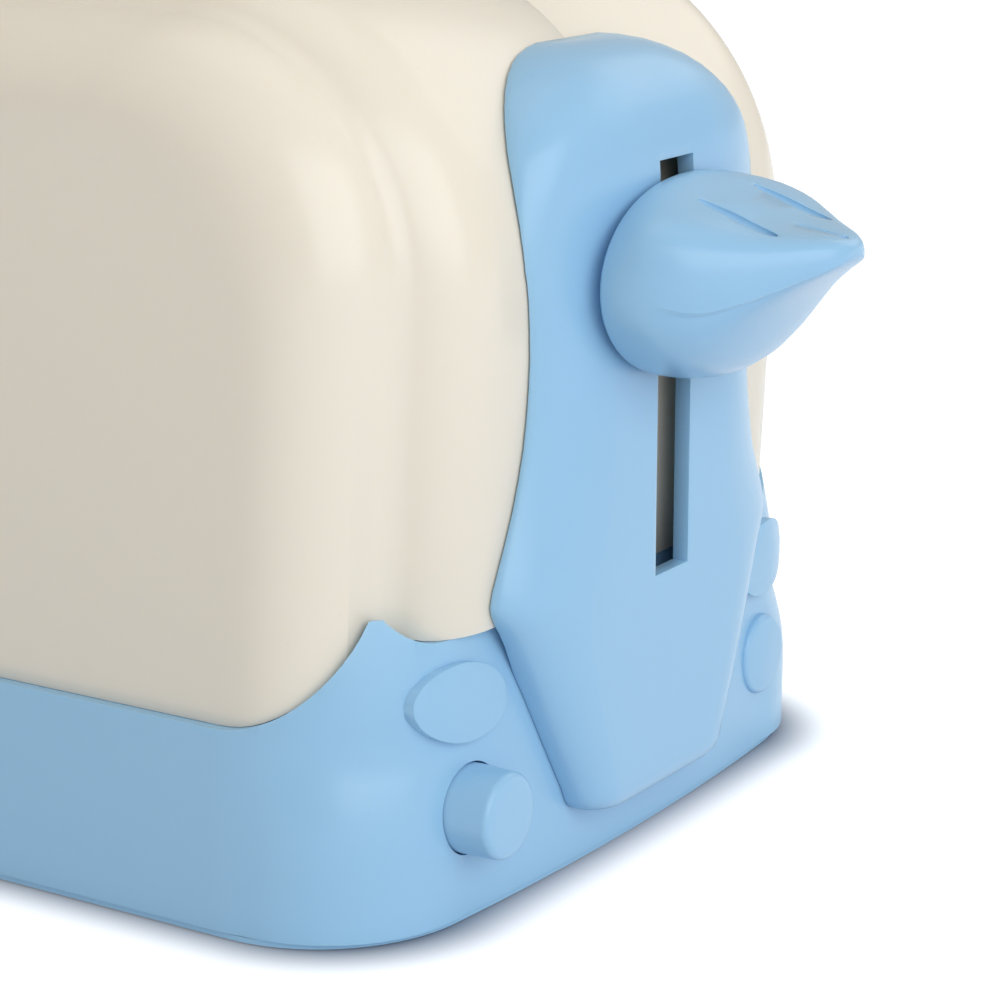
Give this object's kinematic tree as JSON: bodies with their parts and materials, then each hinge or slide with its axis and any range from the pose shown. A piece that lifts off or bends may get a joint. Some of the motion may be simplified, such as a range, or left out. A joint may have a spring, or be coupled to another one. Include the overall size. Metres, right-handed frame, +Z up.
{
  "type": "toy toaster",
  "caption": "Toy pop-up toaster for pretend play: blue base and end panel, cream bread-slice body, bread slots, sprung lever and release button.",
  "frame": {"origin": "on the underside of the base, at the middle of the base's length and width", "axes": "+X along the length towards the end with the lever, +Y across towards the rear long side, +Z up"},
  "size_m": [0.2079, 0.12, 0.1154],
  "materials": {
    "blue_plastic": "smooth glossy moulded plastic, light blue",
    "cream_plastic": "smooth glossy moulded plastic, warm cream white",
    "inner_plastic": "plain moulded plastic, inside the body",
    "screw_steel": "zinc plated",
    "rod_steel": "drawn and polished",
    "spring_steel": "spring wire and strip"
  },
  "bodies": {
    "housing": {"base_shell": "blue_plastic", "base_cover": "blue_plastic", "cover_screws": "screw_steel", "chassis_plate": "inner_plastic", "chassis_screws": "screw_steel", "shell_screws": "screw_steel", "front_shell": "cream_plastic", "rear_shell": "cream_plastic", "seam_screws": "screw_steel", "end_panel": "blue_plastic", "panel_screws": "screw_steel", "bread_well_front": "inner_plastic", "bread_well_rear": "inner_plastic", "guide_rod_front": "rod_steel", "guide_rod_rear": "rod_steel", "rod_bridge": "inner_plastic", "bridge_screws": "screw_steel", "button_guide": "inner_plastic", "lift_spring_front": "spring_steel", "lift_spring_rear": "spring_steel", "button_spring": "spring_steel"},
    "lever": {"lever_knob": "blue_plastic", "carriage": "inner_plastic", "cradle_front": "cream_plastic", "cradle_rear": "cream_plastic", "cradle_screws": "screw_steel", "catch_tongue": "spring_steel"},
    "button": {"release_button": "blue_plastic", "catch_hook": "inner_plastic"}
  },
  "joints": [
    {"name": "lever_slide", "type": "slide", "parent": "housing", "child": "lever", "axis": [0, 0, -1], "range_m": [0, 0.0315], "stiffness_N_per_m": 60, "springref_m": -0.03, "deforming": ["lift_spring_front", "lift_spring_rear", "catch_tongue"]},
    {"name": "button_slide", "type": "slide", "parent": "housing", "child": "button", "axis": [-1, 0, 0], "range_m": [0, 0.0035], "stiffness_N_per_m": 300, "springref_m": -0.002, "deforming": ["button_spring"]}
  ]
}
